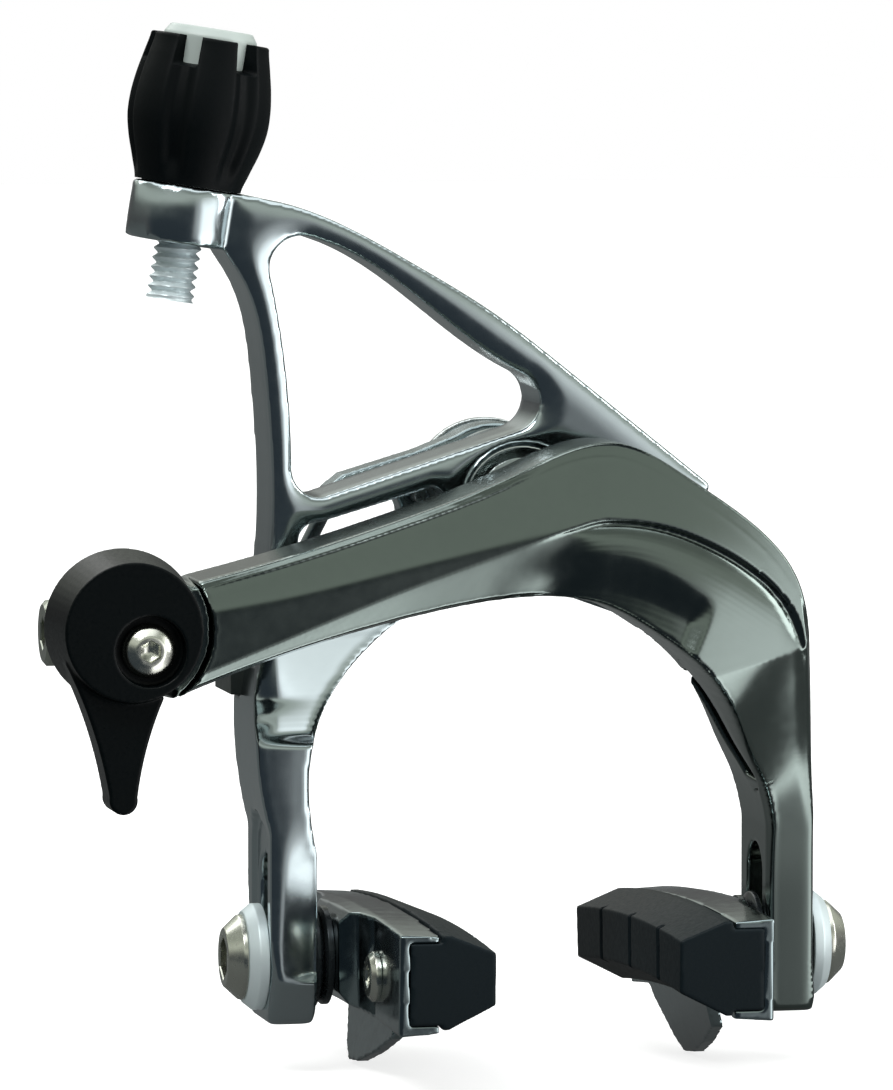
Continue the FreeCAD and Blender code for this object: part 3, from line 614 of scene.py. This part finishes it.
ADJUST_FOOT = Vector((-37.1, -16.5, 21.7))
ADJUST_LEAN = math.radians(9.2)
ADJUST_AXIS = Vector((math.sin(ADJUST_LEAN), 0.0, math.cos(ADJUST_LEAN)))
THREAD_PITCH, THREAD_DEPTH, THREAD_FADE = 1.0, 0.5, 0.6
RINGS_PER_TURN = 10
ROUND_SEGMENTS = 72


def hexagon(flats, angle):
    """Radius of a hexagon at an angle, from its width across the flats."""
    return flats / 2 / math.cos((angle + math.pi / 6) % (math.pi / 3) - math.pi / 6)


def socket_rings(radius, height, flats, depth):
    """Hexagon socket from the rim of a head down to its floor."""
    def six(h, angle):
        return hexagon(flats, angle)

    def bevelled(h, angle):
        return hexagon(flats, angle) * 1.06
    return [(radius, height), (bevelled, height), (six, height - 0.12), (six, height - depth),
            (flats * 0.3, height - depth - 0.25), (0.0, height - depth - 0.45)]


def head_rings(outline, rounding, flats, depth):
    """Rounded outline of a screw up to the rim of its head, and the socket inside the rim."""
    return profile(outline, rounding)[1:-1] + socket_rings(*outline[-1], flats, depth)


def washer_rings(outline, rounding):
    """Rings round a washer, from the closed outline of its section that starts in the bore."""
    return profile(outline + outline[:1], rounding)


def thread(radius, height, angle):
    """Radius of a thread with narrow crests at a height and an angle."""
    phase = (height / THREAD_PITCH - angle / (2 * math.pi)) % 1.0
    flank = abs(2.0 * phase - 1.0)
    return radius - THREAD_DEPTH * min(1.0, max(0.0, 1.25 * flank - 0.12))


def threaded(radius, low, high):
    """Rings of a thread that fades out at both ends."""
    def cut(height, angle):
        fade = min(1.0, (height - low) / THREAD_FADE, (high - height) / THREAD_FADE)
        return radius - fade * (radius - thread(radius, height, angle))
    count = int((high - low) / THREAD_PITCH * RINGS_PER_TURN)
    return [(cut, low + (high - low) * i / count) for i in range(count + 1)]


finish(turned("adjuster_thread", ADJUST_FOOT, ADJUST_AXIS,
              [(0.0, 4.0), (1.1, 4.0), (1.1, 0.15), (1.25, 0.0), (2.0, 0.0)]
              + threaded(2.5, 0.02, 21.9) + [(2.3, 22.0), (0.0, 22.0)], ROUND_SEGMENTS),
       "silver", "adjuster_bolt")

finish(turned("mounting_stud", (0.0, 0.0, 0.0), (0.0, 1.0, 0.0),
              [(0.0, -22.6), (2.7, -22.6), (3.0, -22.3), (3.0, -19.65), (3.4, -19.65),
               (3.4, 0.0), (3.0, 0.0), (3.0, 7.9)]
              + threaded(3.0, 8.0, 29.4) + [(2.3, 30.0), (0.0, 30.0)], ROUND_SEGMENTS),
       "steel", "mounting_bolt")

# Radius and height of the side of the grip, from its foot to its top
GRIP_SIDE = [(5.6, 12.15), (6.25, 13.2), (6.95, 15.2), (7.4, 17.6), (7.42, 19.6), (7.15, 22.2),
             (6.7, 24.8), (6.25, 27.4)]
GRIP_LOW, GRIP_HIGH = GRIP_SIDE[0][1], GRIP_SIDE[-1][1]
GRIP_BORE = 4.9
GRIP_LOBES, GRIP_TURN = 6, math.radians(30.0)
GRIP_STEPS, GRIP_SEGMENTS = 90, 240
HOLLOW_DEPTH, NOTCH_FLOOR = 0.75, 4.4


def grip_edge(t):
    """Radius and height of the outline of the grip at a share of its way up."""
    place = min(len(GRIP_SIDE) - 1.001, max(0.0, t * (len(GRIP_SIDE) - 1)))
    return through([Vector(p) for p in GRIP_SIDE], int(place), place - int(place))


def grip_radius(height, angle):
    """Six broad lobes with hollows between them that end in open notches at the top."""
    radius = grip_edge((height - GRIP_LOW) / (GRIP_HIGH - GRIP_LOW)).x
    span = 2 * math.pi / GRIP_LOBES
    off = abs((angle + GRIP_TURN + span / 2) % span - span / 2)
    hollow = HOLLOW_DEPTH * ease(off, 0.25, 0.05) * ease(height, GRIP_LOW, GRIP_LOW + 3.0)
    notch = ease(height, 24.4, 24.9) * ease(off, 0.21, 0.17)
    return (radius - hollow) * (1.0 - notch) + NOTCH_FLOOR * notch


def grip_top(inward):
    """Ring of the rounded top edge, a share of the way in from the side to the bore."""
    def radius(height, angle):
        rim = grip_radius(GRIP_HIGH, angle)
        return rim - inward * (rim - GRIP_BORE)
    return radius


GRIP_RINGS = [(grip_radius, GRIP_LOW + (GRIP_HIGH - GRIP_LOW) * i / GRIP_STEPS)
              for i in range(GRIP_STEPS + 1)]
finish(turned("adjuster_grip_form", ADJUST_FOOT, ADJUST_AXIS,
              [(GRIP_BORE, GRIP_LOW)] + GRIP_RINGS
              + [(grip_top(0.06), 27.52), (grip_top(0.2), 27.6), (grip_top(1.0), 27.6)],
              GRIP_SEGMENTS),
       "grip", "adjuster_grip")

PAD_Y, PAD_Z = -20.0, -47.2         # the pad bolts
PAD_SCREW_Y = -35.5                 # the pad screws on a level pad

# Side, its direction, x of the leg's outer and inner face and of the screw, tilt of the pad
for side, sign, outer, inner, screw_x, tilt in (("left", -1.0, -28.2, -23.2, -18.8, 1.5),
                                                ("right", 1.0, 30.5, 25.2, 20.8, 3.0)):
    outward, inward = (sign, 0.0, 0.0), (-sign, 0.0, 0.0)
    at_outer, at_inner = (outer, PAD_Y, PAD_Z), (inner, PAD_Y, PAD_Z)
    foot = -abs(outer - inner) - 5.5
    finish(turned("pad_bolt_%s_form" % side, at_outer, outward,
                  [(0.0, foot), (3.0, foot)]
                  + head_rings([(3.0, foot), (3.0, 2.0), (4.5, 2.0), (4.45, 2.5), (3.05, 4.0),
                                (2.5, 4.0)], 0.14, 4.0, 1.8)),
           "nickel", "pad_bolt_" + side)
    finish(turned("outer_washer_%s_form" % side, at_outer, outward,
                  washer_rings([(3.0, 1.0), (3.0, 0.01), (5.6, 0.01), (5.6, 1.0), (4.8, 2.0),
                                (3.0, 2.0)], 0.12)),
           "silver", "outer_washer_" + side)
    finish(turned("domed_washer_%s_form" % side, at_inner, inward,
                  washer_rings([(3.0, 0.5), (3.0, 0.02), (5.6, 0.02), (5.55, 0.5),
                                (4.6, 0.99), (3.0, 0.99)], 0.12)),
           "dark_washer", "domed_washer_" + side)
    finish(turned("cupped_washer_%s_form" % side, at_inner, inward,
                  washer_rings([(3.0, 1.5), (3.0, 1.01), (4.7, 1.01), (5.2, 1.35),
                                (5.2, 1.99), (3.0, 1.99)], 0.1)),
           "dark_washer", "cupped_washer_" + side)
    reach, tilt = PAD_SCREW_Y - PAD_Y, math.radians(tilt)
    at_screw = (screw_x, PAD_Y + reach * math.cos(tilt), PAD_Z + reach * math.sin(tilt))
    finish(turned("pad_screw_%s_form" % side, at_screw, outward,
                  [(0.0, -1.1), (1.5, -1.1)]
                  + head_rings([(1.5, -1.1), (1.5, 0.0), (2.65, 0.0), (2.65, 0.6), (2.1, 1.1),
                                (1.4, 1.1)], 0.12, 2.0, 0.8)),
           "nickel", "pad_screw_" + side)

finish(turned("release_screw_form", (-42.6, -34.3, -13.4), (0.0, -1.0, 0.0),
              [(0.0, -6.3), (1.25, -6.3), (1.25, 0.0)]
              + head_rings([(1.25, 0.0), (2.85, 0.0), (2.82, 0.35), (2.45, 1.15), (1.5, 1.7),
                            (1.3, 1.7)], 0.2, 2.0, 1.1)),
       "nickel", "release_screw")

clamp_low, clamp_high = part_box("anchor_bolt")
clamp_z = (clamp_low.z + clamp_high.z) / 2 / MM


def knurled(height, angle):
    return 3.4 + 0.07 * math.cos(24 * angle)


finish(turned("anchor_bolt_form", (-49.65, -20.6, clamp_z), (-1.0, 0.0, 0.0),
              [(0.0, -3.4), (1.6, -3.4), (1.6, 0.0), (3.2, 0.0), (knurled, 0.2),
               (knurled, 1.3), (3.0, 1.7)] + socket_rings(1.9, 1.7, 3.0, 1.0)),
       "anchor", "anchor_bolt")


# Camera and lamps

AZIMUTH, ELEVATION = math.radians(-12.0), math.radians(4.5)
CAMERA_PLACE = (-0.194491, -0.896276, 0.066311)
FOCAL_PIXELS, PHOTO_HEIGHT, SENSOR = 8550.0, 1090.0, 36.0
LOOK_AT = Vector((-0.002, -0.018, -0.010))

right = Vector((math.cos(AZIMUTH), math.sin(AZIMUTH), 0.0))
back = Vector((math.sin(AZIMUTH) * math.cos(ELEVATION), -math.cos(AZIMUTH) * math.cos(ELEVATION),
               math.sin(ELEVATION)))
up = back.cross(right)
camera_data = bpy.data.cameras.new("camera")
camera_data.sensor_width = SENSOR
camera_data.lens = FOCAL_PIXELS * SENSOR / PHOTO_HEIGHT
camera_data.clip_start = 0.01
camera_data.clip_end = 20.0
camera = bpy.data.objects.new("camera", camera_data)
camera.matrix_world = Matrix((
    (right.x, up.x, back.x, CAMERA_PLACE[0]),
    (right.y, up.y, back.y, CAMERA_PLACE[1]),
    (right.z, up.z, back.z, CAMERA_PLACE[2]),
    (0.0, 0.0, 0.0, 1.0)))
bpy.context.scene.collection.objects.link(camera)
bpy.context.scene.camera = camera


def lamp(name, place, size, power):
    data = bpy.data.lights.new(name, "AREA")
    data.shape = "RECTANGLE"
    data.size, data.size_y = size
    data.energy = power
    light = bpy.data.objects.new(name, data)
    light.location = place
    light.visible_camera = False
    light.rotation_euler = (LOOK_AT - Vector(place)).to_track_quat("-Z", "Y").to_euler()
    bpy.context.scene.collection.objects.link(light)


lamp("key", (-0.45, -0.45, 0.75), (0.5, 0.35), 6.0)
lamp("side", (0.75, -0.25, 0.25), (0.25, 0.7), 3.0)
lamp("rim", (-0.3, 0.6, 0.5), (0.6, 0.3), 1.5)

# The studio that the metal sees: dark walls all round, a soft box front right, a pale ceiling
# with a bright middle, and a dim ground with the soft box's foot. The camera sees plain white,
# and so does glass, and a little of that white also shows in metal straight behind the part.

WHITE, GREY, BLACK = (1.0, 1.0, 1.0), (0.1, 0.1, 0.1), (0.0, 0.0, 0.0)
NAVY = (0.75, 0.95, 1.15)
BACKDROP_SHARE = 0.15

world = bpy.data.worlds.new("studio")
world.use_nodes = True
bpy.context.scene.world = world
tree = world.node_tree
background = tree.nodes["Background"]
background.inputs["Strength"].default_value = 1.0


def at_degrees(degrees, grey, tint=WHITE):
    """Stop of a ramp round the part: 0 is the front, 90 the right and 180 behind."""
    return 0.5 + degrees / 360.0, tuple(grey * c for c in tint)


direction = tree.nodes.new("ShaderNodeTexCoord")
split = tree.nodes.new("ShaderNodeSeparateXYZ")
tree.links.new(direction.outputs["Generated"], split.inputs["Vector"])
turn = maths(tree, "ARCTAN2", split.outputs["X"],
             maths(tree, "MULTIPLY", split.outputs["Y"], -1.0))
turn = maths(tree, "ADD", maths(tree, "MULTIPLY", turn, 0.5 / math.pi), 0.5)
rise = maths(tree, "ADD", maths(tree, "MULTIPLY", split.outputs["Z"], 0.5), 0.5)

horizon = ramp(tree, turn, [
    at_degrees(-180, 0.24), at_degrees(-175, 0.2), at_degrees(-169, 0.11),
    at_degrees(-85, 0.13), at_degrees(-72, 0.06, NAVY), at_degrees(11, 0.06, NAVY),
    at_degrees(16, 0.6), at_degrees(23, 0.8), at_degrees(30, 2.5), at_degrees(56, 2.6),
    at_degrees(66, 0.22), at_degrees(169, 0.11), at_degrees(175, 0.2), at_degrees(180, 0.24)])
ground = ramp(tree, turn, [
    at_degrees(-180, 0.2), at_degrees(-85, 0.13), at_degrees(-72, 0.06, NAVY),
    at_degrees(26, 0.06, NAVY), at_degrees(33, 4.0), at_degrees(58, 4.0),
    at_degrees(68, 0.2), at_degrees(180, 0.2)])
ceiling = ramp(tree, rise, [
    (0.5, (0.40, 0.42, 0.36)), (0.66, (0.74, 0.78, 0.70)), (0.71, (0.74, 0.78, 0.70)),
    (0.75, (0.42, 0.45, 0.40)), (0.86, (0.40, 0.43, 0.39)), (0.89, (2.0, 2.05, 2.05)),
    (1.0, (2.0, 2.05, 2.05))])
# Where the ceiling takes over from the horizon, and where the ground does
lift = ramp(tree, rise, [(0.5, BLACK), (0.57, GREY), (0.65, WHITE), (1.0, WHITE)])
sink = ramp(tree, rise, [(0.15, WHITE), (0.36, BLACK)])
room = mixed(tree, sink, mixed(tree, lift, horizon, ceiling), ground)

behind = ramp(tree, turn, [
    at_degrees(-180, BACKDROP_SHARE), at_degrees(-176, BACKDROP_SHARE), at_degrees(-172, 0.0),
    at_degrees(172, 0.0), at_degrees(176, BACKDROP_SHARE), at_degrees(180, BACKDROP_SHARE)])
path = tree.nodes.new("ShaderNodeLightPath")
in_metal = maths(tree, "MULTIPLY", path.outputs["Is Glossy Ray"], behind)
in_glass = path.outputs["Is Transmission Ray"]
seen = maths(tree, "MAXIMUM", path.outputs["Is Camera Ray"],
             maths(tree, "MAXIMUM", in_glass, in_metal))
tree.links.new(mixed(tree, seen, room, WHITE), background.inputs["Color"])


# Floor: white to the camera, with the part's shadow, and dark in the metal

FLOOR_GAP = 0.0002
FLOOR_X, FLOOR_FRONT, FLOOR_BACK = 2.0, -0.055, 2.5
FLOOR_TONE, FLOOR_IN_METAL = (0.45, 0.45, 0.45), (0.05, 0.055, 0.055)
GLOW, GLOW_IN_METAL = 0.75, 0.08

floor_z = cad_low[2] - FLOOR_GAP
mesh = bpy.data.meshes.new("floor")
mesh.from_pydata([(-FLOOR_X, FLOOR_FRONT, floor_z), (FLOOR_X, FLOOR_FRONT, floor_z),
                  (FLOOR_X, FLOOR_BACK, floor_z), (-FLOOR_X, FLOOR_BACK, floor_z)],
                 [], [(0, 1, 2, 3)])
floor = bpy.data.objects.new("floor", mesh)
bpy.context.scene.collection.objects.link(floor)
material, tree, bsdf = shader("pale_floor")
bsdf.inputs["Roughness"].default_value = 0.9
bsdf.inputs["Specular IOR Level"].default_value = 0.0
path = tree.nodes.new("ShaderNodeLightPath")
in_metal = maths(tree, "MAXIMUM", path.outputs["Is Glossy Ray"],
                 path.outputs["Is Transmission Ray"])
tree.links.new(mixed(tree, in_metal, FLOOR_TONE, FLOOR_IN_METAL), bsdf.inputs["Base Color"])
glow = tree.nodes.new("ShaderNodeEmission")
strength = maths(tree, "ADD", maths(tree, "MULTIPLY", path.outputs["Is Camera Ray"], GLOW),
                 maths(tree, "MULTIPLY", in_metal, GLOW_IN_METAL))
tree.links.new(strength, glow.inputs["Strength"])
both = tree.nodes.new("ShaderNodeAddShader")
tree.links.new(bsdf.outputs["BSDF"], both.inputs[0])
tree.links.new(glow.outputs["Emission"], both.inputs[1])
tree.links.new(both.outputs["Shader"], tree.nodes["Material Output"].inputs["Surface"])
mesh.materials.append(material)

bpy.context.scene.view_settings.view_transform = "Standard"
